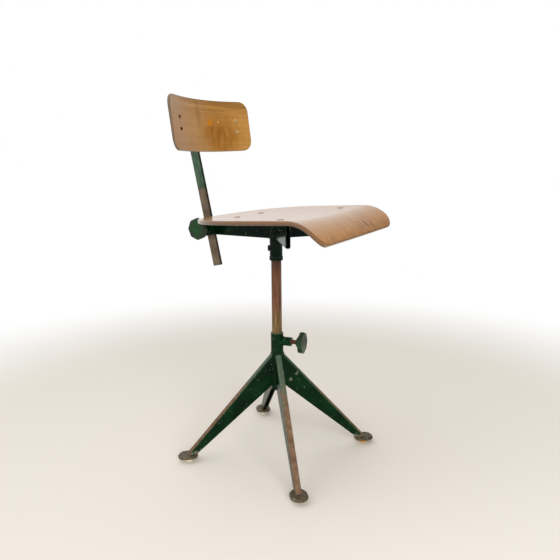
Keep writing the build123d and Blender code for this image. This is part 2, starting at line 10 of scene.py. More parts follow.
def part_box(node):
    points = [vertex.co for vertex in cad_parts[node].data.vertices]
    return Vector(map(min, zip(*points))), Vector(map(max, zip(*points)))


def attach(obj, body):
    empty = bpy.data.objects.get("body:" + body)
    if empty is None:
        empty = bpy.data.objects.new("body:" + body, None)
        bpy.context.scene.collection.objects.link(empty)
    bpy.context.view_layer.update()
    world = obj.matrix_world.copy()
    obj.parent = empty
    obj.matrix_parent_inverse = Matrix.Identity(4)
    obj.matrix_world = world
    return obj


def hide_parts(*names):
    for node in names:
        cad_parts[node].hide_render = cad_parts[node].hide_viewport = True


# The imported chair: every solid at its real place, in metres, +Z up and facing -Y, with the origin
# on the floor under the column.
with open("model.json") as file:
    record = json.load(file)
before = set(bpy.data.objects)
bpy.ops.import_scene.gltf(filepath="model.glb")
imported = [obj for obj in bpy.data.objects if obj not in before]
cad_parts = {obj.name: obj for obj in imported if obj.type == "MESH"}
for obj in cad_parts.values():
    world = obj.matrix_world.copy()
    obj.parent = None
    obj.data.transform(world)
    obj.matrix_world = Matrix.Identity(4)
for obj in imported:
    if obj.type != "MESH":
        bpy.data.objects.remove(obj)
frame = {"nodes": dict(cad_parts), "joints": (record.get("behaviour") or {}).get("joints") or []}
nodes = frame["nodes"]
joints = {joint["name"]: joint for joint in frame["joints"]}
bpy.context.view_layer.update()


# Sleeve: a length of drawn steel pipe that the column slides in, with a drilled round welded on for
# the clamp screw. Both were dipped in dark green stove enamel, which is chipped at the edges and
# rubbed off the rim.
def linear(colour):
    """An sRGB hex colour as the linear RGBA that a shader socket takes."""
    channels = [int(colour[i:i + 2], 16) / 255 for i in (1, 3, 5)]
    return (*[c / 12.92 if c <= 0.04045 else ((c + 0.055) / 1.055) ** 2.4 for c in channels], 1.0)


def add_node(tree, kind, sockets, **settings):
    """Adds a shader node with its settings and returns its first live output. A socket takes a value,
    a hex colour or another output. By number, a Map Range takes its value, the range it is from (1, 2)
    and the range it goes to (3, 4), and a Mix its share (0) and the colours under (6) and over (7)."""
    node = tree.nodes.new("ShaderNode" + kind)
    if kind == "Mix":
        node.data_type = "RGBA"
    for name, value in settings.items():
        setattr(node, name, value)
    for name, value in sockets.items():
        if isinstance(value, bpy.types.NodeSocket):
            tree.links.new(value, node.inputs[name])
        else:
            node.inputs[name].default_value = linear(value) if isinstance(value, str) else value
    return next(output for output in node.outputs if output.enabled)


def new_finish(name, colour_to_normal):
    """A material whose shader takes what colour_to_normal(add, shader, place) returns: a colour, a
    roughness and a normal. add is add_node for its tree, and place the Object coordinate, in metres."""
    material = bpy.data.materials.new(name)
    material.use_nodes = True
    tree = material.node_tree
    add = functools.partial(add_node, tree)
    shader = tree.nodes["Principled BSDF"]
    place = add("TexCoord", {}).node.outputs["Object"]
    colour, roughness, normal = colour_to_normal(add, shader, place)
    tree.links.new(colour, shader.inputs["Base Color"])
    tree.links.new(roughness, shader.inputs["Roughness"])
    tree.links.new(normal, shader.inputs["Normal"])
    return material


def enamel_finish(name, deep="#011307", light="#042710", ridge_wear=0.0, chips=0.4, rim=None,
                  marks=(), gloss=0.30):
    """Stove enamel over steel: a cloudy dark green film, flaked off sharp edges to brown rusted
    steel through a pale worn margin, with small pale flecks, and hairline scratches drawn half a
    millimetre wide so that they show. ridge_wear paints faces that look up pale grey-green, partly a
    thinned film and partly a painted sheen from the light above, and bares them near the floor, and
    above the height rim the film is worn pale. Each mark is a rubbed place: its middle, its radius
    and how far the film is gone there. gloss is the roughness of the whole film."""
    cloud_size = 0.06
    chip_size = 0.010
    rust_size = 0.012
    peel_size = 0.0025
    scratch_spacing = 0.05
    scratch_width = 0.0005
    fleck_spacing = 0.008
    fleck_width = 0.0018
    peel_depth = 0.0004
    wear_height = 0.26
    wear_floor = 0.13
    top_wear = 0.38
    edge_width = 0.008 if ridge_wear else 0.003
    edge_round = 0.0008
    foot_top = 0.045
    foot_bare = 0.02
    foot_wear = 0.4
    weld_reach = 0.022
    weld_fade = 0.006
    rim_fade = 0.0008
    film_thins, film_breaks, film_gone = 0.72, 0.84, 0.92
    most_thinned = 0.75
    flat_bend, sharp_bend = 0.995, 0.80
    turned_down, turned_out = -0.3, 0.1
    upright, sloping = 0.05, 0.4
    mark_core = 0.4
    no_fleck, fleck = 0.12, 0.10
    steel_roughness = 0.68

    def surface(add, shader, place):
        side = add("NewGeometry", {}).node.outputs["Normal"]
        spot = add("SeparateXYZ", {0: place}).node.outputs
        cloud = add("TexNoise", {"Vector": place, "Scale": 1 / cloud_size, "Detail": 5.0})
        tone = add("MapRange", {0: cloud, 1: 0.35, 2: 0.65})
        green = add("Mix", {0: tone, 6: deep, 7: light})
        rounded = add("Bevel", {"Radius": edge_width}, samples=8)
        facing = add("SeparateXYZ", {0: rounded}).node.outputs
        bend = add("VectorMath", {0: rounded, 1: side}, operation="DOT_PRODUCT")
        edge = add("MapRange", {0: bend, 1: flat_bend, 2: sharp_bend, 4: chips})
        exposed = add("MapRange", {0: facing["Z"], 1: turned_down, 2: turned_out})
        corner_wear = add("Math", {0: edge, 1: exposed}, operation="MULTIPLY")
        if ridge_wear:
            flat = add("VectorMath", {0: place, 1: (1.0, 1.0, 0.0)}, operation="MULTIPLY")
            away = add("VectorMath", {0: flat}, operation="LENGTH")
            reach = add("MapRange", {0: away, 1: weld_reach, 2: weld_reach + weld_fade})
            corner_wear = add("Math", {0: corner_wear, 1: reach}, operation="MULTIPLY")
        low = add("MapRange", {0: spot["Z"], 1: wear_height, 2: wear_floor, 3: top_wear})
        up = add("MapRange", {0: facing["Z"], 1: upright, 2: sloping, 4: ridge_wear})
        ridge = add("Math", {0: up, 1: low}, operation="MULTIPLY")
        foot = add("MapRange", {0: spot["Z"], 1: foot_top, 2: foot_bare, 4: foot_wear})
        rubbed = add("Math", {0: ridge, 1: foot}, operation="MAXIMUM")
        worn = add("Math", {0: rubbed, 1: corner_wear}, operation="MAXIMUM")
        for middle, radius, loss in marks:
            away = add("VectorMath", {0: place, 1: middle}, operation="DISTANCE")
            mark = add("MapRange", {0: away, 1: radius, 2: radius * mark_core, 4: loss})
            worn = add("Math", {0: worn, 1: mark}, operation="MAXIMUM")
        flakes = add("TexNoise", {"Vector": place, "Scale": 1 / chip_size, "Detail": 8.0,
                                  "Roughness": 0.65})
        level = add("Math", {0: flakes, 1: worn}, operation="ADD")
        bare = add("MapRange", {0: level, 1: film_breaks, 2: film_gone})
        thin = add("MapRange", {0: level, 1: film_thins, 2: film_breaks, 4: most_thinned})
        # Faces that look up are painted pale grey-green: partly a thinned film and partly a painted sheen
        # from the light above.
        if ridge_wear:
            thin = add("Math", {0: thin, 1: up}, operation="MAXIMUM")
        if rim is not None:
            top = add("MapRange", {0: spot["Z"], 1: rim, 2: rim + rim_fade})
            thin = add("Math", {0: thin, 1: top}, operation="MAXIMUM")
        pale = add("Mix", {0: thin, 6: green, 7: "#5c6e5c"})
        rust = add("TexNoise", {"Vector": place, "Scale": 1 / rust_size, "Detail": 6.0})
        shade = add("MapRange", {0: rust, 1: 0.3, 2: 0.7})
        steel = add("Mix", {0: shade, 6: "#5c4333", 7: "#806750"})
        coated = add("Mix", {0: bare, 6: pale, 7: steel})
        cracks = add("TexVoronoi", {"Vector": place, "Scale": 1 / scratch_spacing},
                     feature="DISTANCE_TO_EDGE")
        line = add("MapRange", {0: cracks, 1: scratch_width / scratch_spacing, 2: 0.0})
        broken = add("MapRange", {0: flakes, 1: 0.56, 2: 0.62, 4: 0.7})
        scratch = add("Math", {0: line, 1: broken}, operation="MULTIPLY")
        cells = add("TexVoronoi", {"Vector": place, "Scale": 1 / fleck_spacing})
        speck = add("MapRange", {0: cells, 1: fleck_width / 2 / fleck_spacing, 2: 0.0})
        chance = add("SeparateColor", {0: cells.node.outputs["Color"]})
        few = add("MapRange", {0: chance, 1: no_fleck, 2: fleck})
        flecks = add("Math", {0: speck, 1: few}, operation="MULTIPLY")
        mark = add("Math", {0: scratch, 1: flecks}, operation="MAXIMUM")
        colour = add("Mix", {0: mark, 6: coated, 7: "#8f9a84"})
        roughness = add("MapRange", {0: bare, 3: gloss, 4: steel_roughness})
        peel = add("TexNoise", {"Vector": place, "Scale": 1 / peel_size, "Detail": 4.0})
        height = add("Math", {0: bare, 1: -1.0, 2: peel}, operation="MULTIPLY_ADD")
        corner = add("Bevel", {"Radius": edge_round}, samples=4)
        bump = add("Bump", {"Height": height, "Strength": 0.2, "Distance": peel_depth, "Normal": corner})
        shader.inputs["Specular IOR Level"].default_value = 0.08
        return colour, roughness, bump

    return new_finish(name, surface)


def paint(material, *names):
    """Gives carried-over solids their finish."""
    for name in names:
        for place in nodes[name].material_slots:
            place.material = material


SLEEVE_RIM_WEAR = 0.0012
sleeve_low, sleeve_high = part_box("base_sleeve")
sleeve_radius = (sleeve_high[0] - sleeve_low[0]) / 2
sleeve_enamel = enamel_finish("stove_enamel_on_sleeve", chips=0.36,
                              rim=sleeve_high[2] - SLEEVE_RIM_WEAR)
paint(sleeve_enamel, "base_sleeve", "height_clamp_boss")

# Legs: four tapering channels folded from sheet steel, ridge up, standing out from the sleeve. Shoes
# and brooms have rubbed the ridges to brown steel. Their upward faces are painted pale grey-green,
# partly a thin worn film and partly a painted sheen.
LEG_MARKS = (
    ((0.0177, -0.0324, 0.2131), 0.009, 0.36),
    ((0.0289, -0.0452, 0.2292), 0.014, 0.24),
    ((-0.0926, 0.0940, 0.1355), 0.006, 0.24),
    ((-0.1148, 0.1195, 0.1008), 0.006, 0.24),
    ((-0.1334, 0.1408, 0.0684), 0.006, 0.24),
)
leg_enamel = enamel_finish("rubbed_enamel_on_legs", ridge_wear=0.58, chips=0.42, marks=LEG_MARKS,
                           gloss=0.22)
paint(leg_enamel, "leg_1", "leg_2", "leg_3", "leg_4")


# Base welds: each leg is welded to the sleeve up one edge, over its ridge and down the other, and
# the clamp boss all round. The beads are steel, rippled by the arc, under the same enamel.
def skin(name, material, *tubes):
    """One closed surface over each tube, which is rows of points round it; a fan closes each end."""
    points, faces, count = [], [], 0
    for rings in tubes:
        rows, columns = rings.shape[:2]
        grid = count + np.arange(rows * columns).reshape(rows, columns)
        after = np.roll(grid, -1, axis=1)
        quads = np.stack([grid[:-1], grid[1:], after[1:], after[:-1]], axis=-1)
        faces += quads.reshape(-1, 4).tolist()
        count += rows * columns
        for end in (0, -1):
            faces += np.stack([np.full(columns, count), grid[end], after[end]], axis=-1).tolist()
            count += 1
        points += [rings.reshape(-1, 3), rings[[0, -1]].mean(axis=1)]
    mesh = bpy.data.meshes.new(name)
    mesh.from_pydata(np.concatenate(points).tolist(), [], faces)
    mesh.materials.append(material)
    shell = bmesh.new()
    shell.from_mesh(mesh)
    bmesh.ops.recalc_face_normals(shell, faces=shell.faces)
    shell.to_mesh(mesh)
    shell.free()
    mesh.polygons.foreach_set("use_smooth", np.ones(len(mesh.polygons), dtype=bool))
    piece = bpy.data.objects.new(name, mesh)
    bpy.context.collection.objects.link(piece)
    return piece


WELD_SIZE = 0.0016


def bead(path, outward):
    """Rings of a weld bead along a path: a round section whose radius swells by an eighth at each
    ripple, and runs out to a blunt tip at both ends by a steep power of the distance from the middle."""
    ripple = 0.0035
    ring_step = 0.0007
    swell = 0.125
    blunt = 0.02
    steep = 16
    sides = 12
    steps = np.linalg.norm(np.diff(path, axis=0), axis=1)
    along = np.concatenate([[0], np.cumsum(steps)])
    even = np.linspace(0, along[-1], int(along[-1] / ring_step))
    path = np.stack([np.interp(even, along, axis) for axis in path.T], axis=1)
    outward = np.stack([np.interp(even, along, axis) for axis in outward.T], axis=1)
    forward = np.gradient(path, axis=0)
    forward /= np.linalg.norm(forward, axis=1)[:, None]
    aside = np.cross(forward, outward)
    share = even / along[-1]
    run_out = np.sqrt(1 + blunt - (2 * share - 1) ** steep)
    radius = WELD_SIZE * run_out * (1 + swell * np.cos(2 * np.pi * even / ripple))
    angle = np.linspace(0, 2 * np.pi, sides, endpoint=False)[None, :, None]
    section = np.cos(angle) * outward[:, None] + np.sin(angle) * aside[:, None]
    return path[:, None] + radius[:, None, None] * section


def channel_edge(half_width, open_end, closed_end):
    """The edge of a channel's end, as distances across and heights: half of a superellipse of the
    eighth power, with its ends at one height and its middle at the other."""
    power = 8
    count = 400
    share = 2 / power
    angle = np.linspace(0, np.pi, count)
    across = half_width * np.sign(np.cos(angle)) * np.abs(np.cos(angle)) ** share
    return across, open_end + (closed_end - open_end) * np.abs(np.sin(angle)) ** share


def channel_weld(bearing, half_width, pipe_radius, open_end, closed_end):
    """The bead where a channel meets a pipe: the channel's edge, wrapped on the pipe at a bearing."""
    across, height = channel_edge(half_width, open_end, closed_end)
    turn = bearing + np.arcsin(across / pipe_radius)
    outward = np.stack([np.cos(turn), np.sin(turn), np.zeros_like(turn)], axis=1)
    path = pipe_radius * outward
    path[:, 2] = height
    return bead(path, outward)


BOSS_RADIUS = 0.012


def boss_weld(centre, axis, reach):
    """The bead round a boss: a circle square to its axis, each point pushed out along it by reach of
    the point's sideways distance."""
    count = 200
    upright = np.array([0.0, 0.0, 1.0])
    sideways = np.cross(upright, axis)
    angle = np.linspace(0, 2 * np.pi, count)
    outward = np.cos(angle)[:, None] * sideways + np.sin(angle)[:, None] * upright
    depth = reach(BOSS_RADIUS * np.cos(angle))
    return bead(np.array(centre) + BOSS_RADIUS * outward + depth[:, None] * axis, outward)


LEG_HALF_WIDTH = 0.008
LEG_TURN = np.radians(41.1)
LEG_RIDGE_ROOT = 0.2908
LEG_EDGE_ROOT = 0.2035
height_clamp = joints["height_knob_turn"]
height_axis = np.array(height_clamp["axis"])
leg_welds = [
    channel_weld(LEG_TURN + quarter * np.pi / 2, LEG_HALF_WIDTH, sleeve_radius, LEG_EDGE_ROOT,
                 LEG_RIDGE_ROOT)
    for quarter in range(4)
]
height_boss_weld = boss_weld(height_clamp["pos_m"], height_axis,
                             lambda side: np.sqrt(sleeve_radius**2 - side**2))
weld_enamel = enamel_finish("stove_enamel_on_welds", chips=0.0)
base_welds = skin("base_welds", weld_enamel, *leg_welds, height_boss_weld)
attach(base_welds, "base")


# Foot plates: oval steel pressings under the legs. Their paint is long gone, and the steel has gone
# grey-brown in patches.
def steel_finish(name, dark, pale, patch_size, roughness, metallic=0.4, painted_shade_below=0.0):
    """Old bare steel or brass, browned by air and hands: two tones in patches over a fine pitted grain,
    with a dark green painted shade on what lies below a height."""
    pit_size = 0.0012
    pit_depth = 0.0003
    edge_round = 0.0008
    gloss_spread = 0.12

    def surface(add, shader, place):
        patch = add("TexNoise", {"Vector": place, "Scale": 1 / patch_size, "Detail": 8.0,
                                 "Roughness": 0.62})
        tone = add("MapRange", {0: patch, 1: 0.32, 2: 0.68})
        colour = add("Mix", {0: tone, 6: dark, 7: pale})
        spot = add("SeparateXYZ", {0: place}).node.outputs
        # Painted shade: below the height the colour is the frame's dark green.
        shaded_below = add("Math", {0: spot["Z"], 1: painted_shade_below}, operation="LESS_THAN")
        colour = add("Mix", {0: shaded_below, 6: colour, 7: "#021f0d"})
        gloss = add("MapRange", {0: tone, 3: roughness + gloss_spread, 4: roughness - gloss_spread})
        pits = add("TexNoise", {"Vector": place, "Scale": 1 / pit_size, "Detail": 4.0})
        corner = add("Bevel", {"Radius": edge_round}, samples=4)
        bump = add("Bump", {"Height": pits, "Strength": 0.3, "Distance": pit_depth, "Normal": corner})
        shader.inputs["Metallic"].default_value = metallic
        return colour, gloss, bump

    return new_finish(name, surface)


foot_steel = steel_finish("worn_foot_steel", "#352e23", "#71654f", patch_size=0.010, roughness=0.55)
paint(foot_steel, "foot_plate_1", "foot_plate_2", "foot_plate_3", "foot_plate_4")


# Glides: turned plastic buttons on a stud. Three have gone ivory with age, and the fourth is a later
# amber one.
def glide_finish(name, clean, soiled):
    """Aged thermoplastic: waxy, with grey floor dirt rubbed into its lower edge."""
    soil_size = 0.006
    soil_depth = 0.0003
    dirt_height = 0.005

    def surface(add, shader, place):
        soil = add("TexNoise", {"Vector": place, "Scale": 1 / soil_size, "Detail": 6.0})
        spot = add("SeparateXYZ", {0: place}).node.outputs
        low = add("MapRange", {0: spot["Z"], 1: dirt_height, 2: 0.0, 4: 0.5})
        dirt = add("Math", {0: soil, 1: low}, operation="MULTIPLY")
        colour = add("Mix", {0: dirt, 6: clean, 7: soiled})
        gloss = add("MapRange", {0: soil, 3: 0.35, 4: 0.6})
        bump = add("Bump", {"Height": soil, "Strength": 0.2, "Distance": soil_depth})
        return colour, gloss, bump

    return new_finish(name, surface)


ivory_plastic = glide_finish("aged_ivory_plastic", "#e2d8bd", "#8f8468")
amber_plastic = glide_finish("amber_plastic", "#c98f2e", "#6e4a18")
paint(ivory_plastic, "glide_1", "glide_2", "glide_3")
paint(amber_plastic, "glide_4")


# Clamp screws: rods with a rolled thread, one for the height and one for the backrest bar. They are
# bare steel, rusted red-brown, and each is fixed in its knob.
def axes_across(axis):
    """Two directions square to an axis and to each other, the first also square to a slanting line."""
    slanting = (0.0, 0.6, 0.8)
    first = np.cross(axis, slanting)
    first /= np.linalg.norm(first)
    return first, np.cross(axis, first)


def threaded_rod(centre, axis, tip, end):
    """Rings of a rod from tip to end along its axis. Its radius falls from the crest by the thread's
    depth times a triangle wave of (distance / pitch - turn), and the tip is pointed at 45 degrees."""
    crest = 0.006
    depth = 0.0011
    pitch = 0.00175
    point = 0.0015
    rings_a_turn = 10
    sides = 36
    distance = np.linspace(tip, end, int((end - tip) / pitch * rings_a_turn))[:, None]
    turn = np.linspace(0, 1, sides, endpoint=False)[None]
    wave = np.abs((distance / pitch - turn) % 1 * 2 - 1)
    radius = np.minimum(crest - depth * wave, crest - point + distance - tip)[..., None]
    first, second = axes_across(axis)
    angle = 2 * np.pi * turn[..., None]
    section = np.cos(angle) * first + np.sin(angle) * second
    return np.array(centre) + distance[..., None] * axis + radius * section


bar_clamp = joints["bar_knob_turn"]
bar_clamp_axis = np.array(bar_clamp["axis"])
rusty_steel = steel_finish("rusted_screw_steel", "#3c2018", "#84533d", patch_size=0.005, roughness=0.65)
HEIGHT_SCREW = (0.01375, 0.073)
BAR_SCREW = (0.0053, 0.058)
height_screw = skin("height_clamp_thread", rusty_steel,
                    threaded_rod(height_clamp["pos_m"], height_axis, *HEIGHT_SCREW))
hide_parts("height_clamp_screw")
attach(height_screw, "height_clamp")
bar_screw = skin("bar_clamp_thread", rusty_steel,
                 threaded_rod(bar_clamp["pos_m"], bar_clamp_axis, *BAR_SCREW))
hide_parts("bar_clamp_screw")
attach(bar_screw, "bar_clamp")


# Knobs: eight-sided cast iron discs on a round neck. Hands have rubbed their green enamel to a
# greasy grey-green, and it is still bright in patches.
def knob_surface(add, shader, place):
    """Hand-worn enamel: grey-green where it is thin, bright green where it is whole."""
    patch_size = 0.022
    nick_size = 0.006
    nick_depth = 0.0005
    edge_width = 0.002
    edge_round = 0.001
    flat_bend, sharp_bend = 0.99, 0.85
    patch = add("TexNoise", {"Vector": place, "Scale": 1 / patch_size, "Detail": 6.0, "Roughness": 0.6})
    whole = add("MapRange", {0: patch, 1: 0.46, 2: 0.60})
    green = add("Mix", {0: whole, 6: "#20291c", 7: "#133d19"})
    nicks = add("TexNoise", {"Vector": place, "Scale": 1 / nick_size, "Detail": 6.0})
    side = add("NewGeometry", {}).node.outputs["Normal"]
    rounded = add("Bevel", {"Radius": edge_width}, samples=6)
    bend = add("VectorMath", {0: rounded, 1: side}, operation="DOT_PRODUCT")
    edge = add("MapRange", {0: bend, 1: flat_bend, 2: sharp_bend, 4: 0.3})
    level = add("Math", {0: nicks, 1: edge}, operation="ADD")
    bare = add("MapRange", {0: level, 1: 0.74, 2: 0.84})
    colour = add("Mix", {0: bare, 6: green, 7: "#5d584c"})
    gloss = add("MapRange", {0: whole, 3: 0.5, 4: 0.3})
    corner = add("Bevel", {"Radius": edge_round}, samples=4)
    bump = add("Bump", {"Height": nicks, "Strength": 0.2, "Distance": nick_depth, "Normal": corner})
    shader.inputs["Specular IOR Level"].default_value = 0.2
    return colour, gloss, bump


knob_enamel = new_finish("hand_worn_knob_enamel", knob_surface)
paint(knob_enamel, "height_knob", "bar_knob")


# Column: a plain steel pipe that slides in the sleeve and turns in the hub. It is red-brown from
# handling, olive where old grease dried above the sleeve, and painted nearly black under the hub as
# painted shade.
def column_surface(add, shader, place):
    """Browned pipe: tone by height, drawn out in upright streaks, and painted shade under the hub."""
    streak_width = 0.004
    streak_length = 0.06
    streak_depth = 0.0003
    grease_top = 0.43
    grease_fade = 0.05
    hub_shade_bottom = 0.50
    hub_shade_top = 0.555
    scale = (1 / streak_width, 1 / streak_width, 1 / streak_length)
    stretched = add("Mapping", {"Vector": place, "Scale": scale})
    streaks = add("TexNoise", {"Vector": stretched, "Scale": 1.0, "Detail": 6.0})
    tone = add("MapRange", {0: streaks, 1: 0.3, 2: 0.7})
    spot = add("SeparateXYZ", {0: place}).node.outputs
    red = add("Mix", {0: tone, 6: "#553322", 7: "#7d563f"})
    olive = add("Mix", {0: tone, 6: "#604a2a", 7: "#8a724c"})
    low = add("MapRange", {0: spot["Z"], 1: grease_top, 2: grease_top - grease_fade})
    brown = add("Mix", {0: low, 6: red, 7: olive})
    # Painted shade: the pipe goes nearly black just under the hub.
    high = add("MapRange", {0: spot["Z"], 1: hub_shade_bottom, 2: hub_shade_top, 4: 0.75})
    colour = add("Mix", {0: high, 6: brown, 7: "#2b1f18"})
    gloss = add("MapRange", {0: tone, 3: 0.55, 4: 0.38})
    bump = add("Bump", {"Height": streaks, "Strength": 0.15, "Distance": streak_depth})
    shader.inputs["Metallic"].default_value = 0.6
    return colour, gloss, bump


paint(new_finish("browned_column_pipe", column_surface), "column_tube")

# Seat frame: a hub pipe, a folded trough to the rear, two narrower ones to the front and two straps
# bent to the plywood. They were welded up and enamelled as one, and the ring below carries the hub.
# Their enamel is painted darker than the legs' green, as painted shade under the seat.
shade_darkened_frame_enamel = enamel_finish("shade_darkened_enamel_on_frame", "#010804", "#031f0e", chips=0.34, gloss=0.18)
paint(shade_darkened_frame_enamel, "thrust_collar", "hub_tube", "hub_retaining_screw", "rear_beam", "front_arm_left",
      "front_arm_right", "front_strap", "rear_strap", "bar_clamp_housing", "bar_clamp_boss")

# Frame welds: beads where the troughs meet the hub, where the rear one meets the clamp housing, and
# round the clamp boss.
ARM_SPREAD = np.radians(51.0)
ARM_HALF_WIDTH = 0.006
BEAM_HALF_WIDTH = 0.012
HOUSING_HALF_DEPTH = 0.0168
HOUSING_WELD_TOP = 0.0165
HOUSING_WELD_BOTTOM = -0.0197
hub_low, hub_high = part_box("hub_tube")
hub_radius = (hub_high[0] - hub_low[0]) / 2
frame_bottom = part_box("rear_beam")[0][2]
weld_top = hub_high[2] - 2 * WELD_SIZE
back = np.pi / 2
hub_welds = [
    channel_weld(bearing, half_width, hub_radius, weld_top, frame_bottom)
    for bearing, half_width in ((back, BEAM_HALF_WIDTH), (-back - ARM_SPREAD, ARM_HALF_WIDTH),
                                (-back + ARM_SPREAD, ARM_HALF_WIDTH))
]
bar_axis = np.array(joints["bar_slide"]["axis"])
bar_sideways = np.array([1.0, 0.0, 0.0])
bar_rearward = np.cross(bar_axis, bar_sideways)
housing_face = np.array(bar_clamp["pos_m"]) - HOUSING_HALF_DEPTH * bar_rearward
across, rise = channel_edge(BEAM_HALF_WIDTH, HOUSING_WELD_TOP, HOUSING_WELD_BOTTOM)
housing_path = housing_face + across[:, None] * bar_sideways + rise[:, None] * bar_axis
housing_weld = bead(housing_path, np.broadcast_to(-bar_rearward, housing_path.shape))
bar_boss_weld = boss_weld(bar_clamp["pos_m"], bar_clamp_axis,
                          lambda side: np.full_like(side, BEAM_HALF_WIDTH))
frame_welds = skin("seat_frame_welds", weld_enamel, *hub_welds, housing_weld, bar_boss_weld)
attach(frame_welds, "seat")

# Seat: beech veneers glued and pressed over a form to a shallow dish across and a turned-down lip in
# front, sawn to its outline, rounded over and lacquered. The sawn edge shows the plies.
SEAT_HEIGHT = 0.6642
SEAT_TILT = np.radians(2.69)
SEAT_PLY = 0.010
SEAT_DISH_RADIUS = 3.7
SEAT_HALF_WIDTH = 0.2236
SEAT_TAPER = np.radians(1.35)
SEAT_REAR_REACH = 0.1856
SEAT_REAR_RADIUS = 0.300
SEAT_REAR_CORNER = 0.195
SEAT_BEND_REACH = 0.1537
SEAT_BEND_RADIUS = 0.0872
SEAT_BEND_ANGLE = np.radians(66.3)
SEAT_LIP_CORNER = 0.040
SEAT_LIP_END = SEAT_BEND_REACH + SEAT_BEND_RADIUS * SEAT_BEND_ANGLE
SEAT_MIDDLE = np.array([0.0, 0.02])


def arc(centre, radius, start, end, count):
    """Points on a circle from one angle up to another, which is left to the next stretch."""
    angles = np.linspace(start, end, count, endpoint=False)
    return np.stack([centre[0] + radius * np.cos(angles), centre[1] + radius * np.sin(angles)], axis=1)


def side_at(forward):
    """The tapered side's distance from the middle, at a distance forward of the column."""
    return SEAT_HALF_WIDTH + (forward - SEAT_BEND_REACH) * np.tan(SEAT_TAPER)


def seat_outline():
    """The sawn outline on the flattened sheet, x to the side and y forward.

    Half of it runs from the lip's middle round the front corner, back along the tapered side, and
    round the rear corner onto the rear arc, which that corner touches from inside: its centre is found
    in a few rounds. The other half mirrors it."""
    front_y = SEAT_LIP_END - SEAT_LIP_CORNER
    front_x = side_at(front_y) - SEAT_LIP_CORNER / np.cos(SEAT_TAPER)
    rear_y = SEAT_REAR_RADIUS - SEAT_REAR_REACH
    inner = SEAT_REAR_RADIUS - SEAT_REAR_CORNER
    straight_count, lip_count, corner_count, rear_count = 40, 24, 48, 16
    rounds = 20
    corner_y = 0.0
    for _ in range(rounds):
        corner_x = side_at(corner_y) - SEAT_REAR_CORNER / np.cos(SEAT_TAPER)
        corner_y = rear_y - np.sqrt(inner**2 - corner_x**2)
    meet = np.arctan2(corner_y - rear_y, corner_x)
    out = np.array([np.cos(SEAT_TAPER), -np.sin(SEAT_TAPER)])
    side_start = np.array([front_x, front_y]) + SEAT_LIP_CORNER * out
    side_end = np.array([corner_x, corner_y]) + SEAT_REAR_CORNER * out
    half = np.concatenate([
        np.linspace((0, SEAT_LIP_END), (front_x, SEAT_LIP_END), straight_count, endpoint=False),
        arc((front_x, front_y), SEAT_LIP_CORNER, np.pi / 2, -SEAT_TAPER, lip_count),
        np.linspace(side_start, side_end, straight_count, endpoint=False),
        arc((corner_x, corner_y), SEAT_REAR_CORNER, -SEAT_TAPER, meet, corner_count),
        arc((0, rear_y), SEAT_REAR_RADIUS, meet, -np.pi / 2, rear_count),
        [(0, -SEAT_REAR_REACH)],
    ])
    return np.concatenate([half, half[-2:0:-1] * (-1, 1)])


def seat_place(x, y, depth):
    """Where a point of the flattened sheet lies on the pressed seat, at a depth below its top face.

    Across, the sheet follows a circle of the dish radius. Behind the bend it runs straight, and
    past it the section turns about the bend's axis. The whole is then tilted, front edge up."""
    rise = SEAT_DISH_RADIUS - np.sqrt(SEAT_DISH_RADIUS**2 - x**2)
    across = x * (1 + depth / SEAT_DISH_RADIUS)
    up = rise - depth * (1 - rise / SEAT_DISH_RADIUS)
    turn = np.clip((y - SEAT_BEND_REACH) / SEAT_BEND_RADIUS, 0, None)
    forward = np.minimum(y, SEAT_BEND_REACH) + (SEAT_BEND_RADIUS + up) * np.sin(turn)
    high = (SEAT_BEND_RADIUS + up) * np.cos(turn) - SEAT_BEND_RADIUS
    return np.stack([
        across,
        high * np.sin(SEAT_TILT) - forward * np.cos(SEAT_TILT),
        high * np.cos(SEAT_TILT) + forward * np.sin(SEAT_TILT) + SEAT_HEIGHT,
    ], axis=-1)


def plywood_shell(name, material, outline, middle, ply, place):
    """A closed sheet of plywood: rings from the middle of the top face out to the sawn outline, over
    its rounded edge and back under. place puts a point of the flat sheet on the pressed form.

    Its UV map is the flat sheet in metres, depth runs from 0 on the top face to 1 on the other, and
    inset is the distance from the sawn edge in metres."""
    round_over = 0.0022
    round_steps = 6
    face_rings = 40
    first_ring = 0.02
    tangent = np.roll(outline, -1, axis=0) - np.roll(outline, 1, axis=0)
    inward = np.stack([tangent[:, 1], -tangent[:, 0]], axis=1)
    inward *= np.sign(((middle - outline) * inward).sum()) / np.linalg.norm(inward, axis=1)[:, None]
    quarter = np.linspace(0, np.pi / 2, round_steps)
    starting, ending = round_over * (1 - np.cos(quarter)), round_over * (1 - np.sin(quarter))
    edge_inset = np.concatenate([ending, starting])
    edge_depth = np.concatenate([starting, ply - ending])
    share = np.linspace(first_ring, 1, face_rings, endpoint=False)
    spread = np.concatenate([share, np.ones(edge_inset.size), share[::-1]])[:, None]
    inset = np.pad(edge_inset, face_rings, constant_values=round_over)[:, None]
    depth = np.pad(edge_depth, face_rings, constant_values=(0, ply))[:, None]
    rim = outline + inset[..., None] * inward
    flat = middle + spread[..., None] * (rim - middle)
    depth = np.broadcast_to(depth, flat.shape[:2])
    margin = inset + (1 - spread) * np.linalg.norm(outline - middle, axis=1)
    shell = skin(name, material, place(flat[..., 0], flat[..., 1], depth))
    mesh = shell.data
    sheet = np.concatenate([flat.reshape(-1, 2), flat[[0, -1]].mean(axis=1)])
    corner = np.empty(len(mesh.loops), dtype=np.int32)
    mesh.loops.foreach_get("vertex_index", corner)
    mesh.uv_layers.new(name="sheet").data.foreach_set("uv", sheet[corner].astype(np.float32).ravel())
    for label, values in (("depth", depth / ply), ("inset", margin)):
        values = np.concatenate([values.ravel(), values[[0, -1]].mean(axis=1)])
        mesh.attributes.new(label, "FLOAT", "POINT").data.foreach_set("value", values.astype(np.float32))
    return shell


